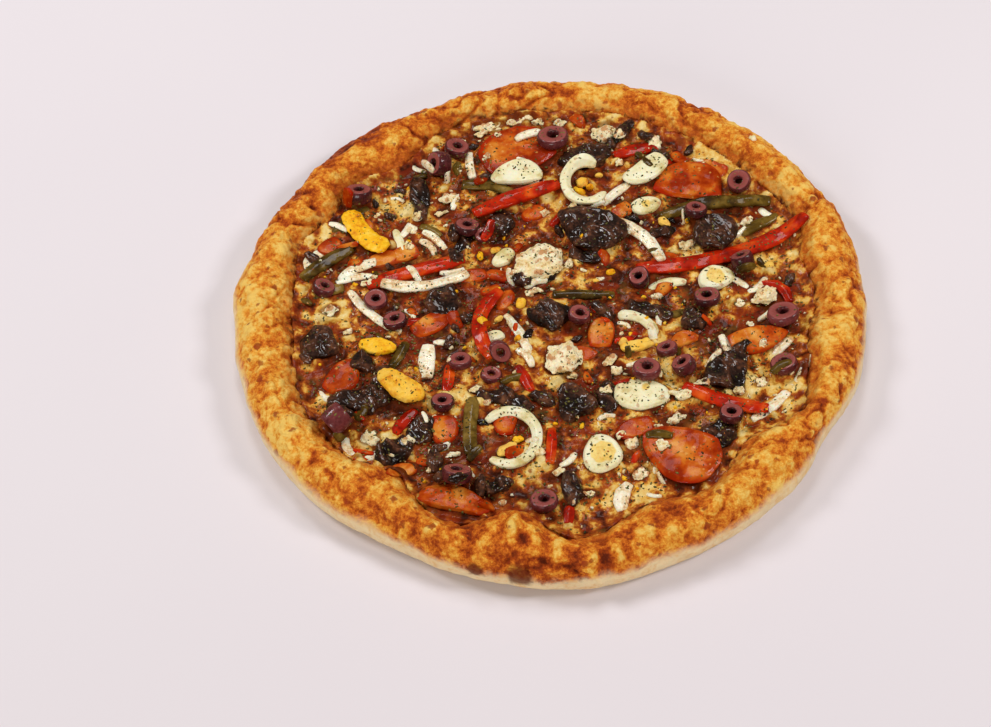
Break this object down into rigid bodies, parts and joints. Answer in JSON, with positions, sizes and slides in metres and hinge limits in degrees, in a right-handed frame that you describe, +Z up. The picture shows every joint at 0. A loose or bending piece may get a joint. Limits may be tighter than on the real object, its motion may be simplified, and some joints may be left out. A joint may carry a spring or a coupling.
{
  "type": "pan pizza",
  "caption": "Whole round pan pizza with a risen browned crust, melted cheese, olive rings, egg slices, pepper strips, mushroom, tomato, onion and white cheese.",
  "frame": {"origin": "middle of the flat underside of the crust, where it rests", "axes": "+Z up, square to the underside and along the shortest side; +Y away from the picture's camera; +X to its right"},
  "size_m": [0.352, 0.351, 0.0312],
  "materials": {
    "crust": "matt baked dough, golden with brown flecks",
    "cheese": "melted cheese, softly shiny",
    "tomato": "moist tomato",
    "mushroom": "dark wrinkled cooked mushroom",
    "egg_white": "smooth boiled egg white",
    "egg_yolk": "crumbly boiled yolk",
    "red_pepper": "shiny cooked red pepper",
    "green_pepper": "dull cooked green pepper",
    "onion": "see-through cooked onion",
    "white_cheese": "crumbled white cheese with toasted tips",
    "olive": "moist dark purple olive"
  },
  "bodies": {
    "root": {"crust": "crust", "cheese_layer": "cheese", "tomato_slice_1": "tomato", "tomato_slice_2": "tomato", "tomato_slice_3": "tomato", "tomato_slice_4": "tomato", "tomato_slice_5": "tomato", "green_pepper_strip_1": "green_pepper", "green_pepper_strip_2": "green_pepper", "green_pepper_strip_3": "green_pepper", "green_pepper_strip_4": "green_pepper", "red_pepper_strip_1": "red_pepper", "red_pepper_strip_2": "red_pepper", "red_pepper_strip_3": "red_pepper", "red_pepper_strip_4": "red_pepper", "red_pepper_strip_5": "red_pepper", "onion_strip_1": "onion", "onion_strip_2": "onion", "mushroom_slice_1": "mushroom", "mushroom_slice_2": "mushroom", "mushroom_slice_3": "mushroom", "mushroom_slice_4": "mushroom", "mushroom_slice_5": "mushroom", "mushroom_slice_6": "mushroom", "mushroom_slice_7": "mushroom", "mushroom_slice_8": "mushroom", "mushroom_slice_9": "mushroom", "egg_slice_1": "egg_white", "egg_slice_2": "egg_white", "egg_slice_3": "egg_white", "egg_slice_4": "egg_white", "egg_slice_5": "egg_white", "egg_white_arc_1": "egg_white", "egg_white_arc_2": "egg_white", "egg_white_arc_3": "egg_white", "egg_yolk_1": "egg_yolk", "egg_yolk_2": "egg_yolk", "white_cheese_1": "white_cheese", "white_cheese_2": "white_cheese", "white_cheese_3": "white_cheese", "olive_ring_01": "olive", "olive_ring_02": "olive", "olive_ring_03": "olive", "olive_ring_04": "olive", "olive_ring_05": "olive", "olive_ring_06": "olive", "olive_ring_07": "olive", "olive_ring_08": "olive", "olive_ring_09": "olive", "olive_ring_10": "olive", "olive_ring_11": "olive", "olive_ring_12": "olive", "olive_ring_13": "olive", "olive_ring_14": "olive", "olive_ring_15": "olive", "olive_ring_16": "olive", "olive_ring_17": "olive", "olive_ring_18": "olive", "olive_ring_19": "olive", "olive_ring_20": "olive"}
  },
  "joints": []
}
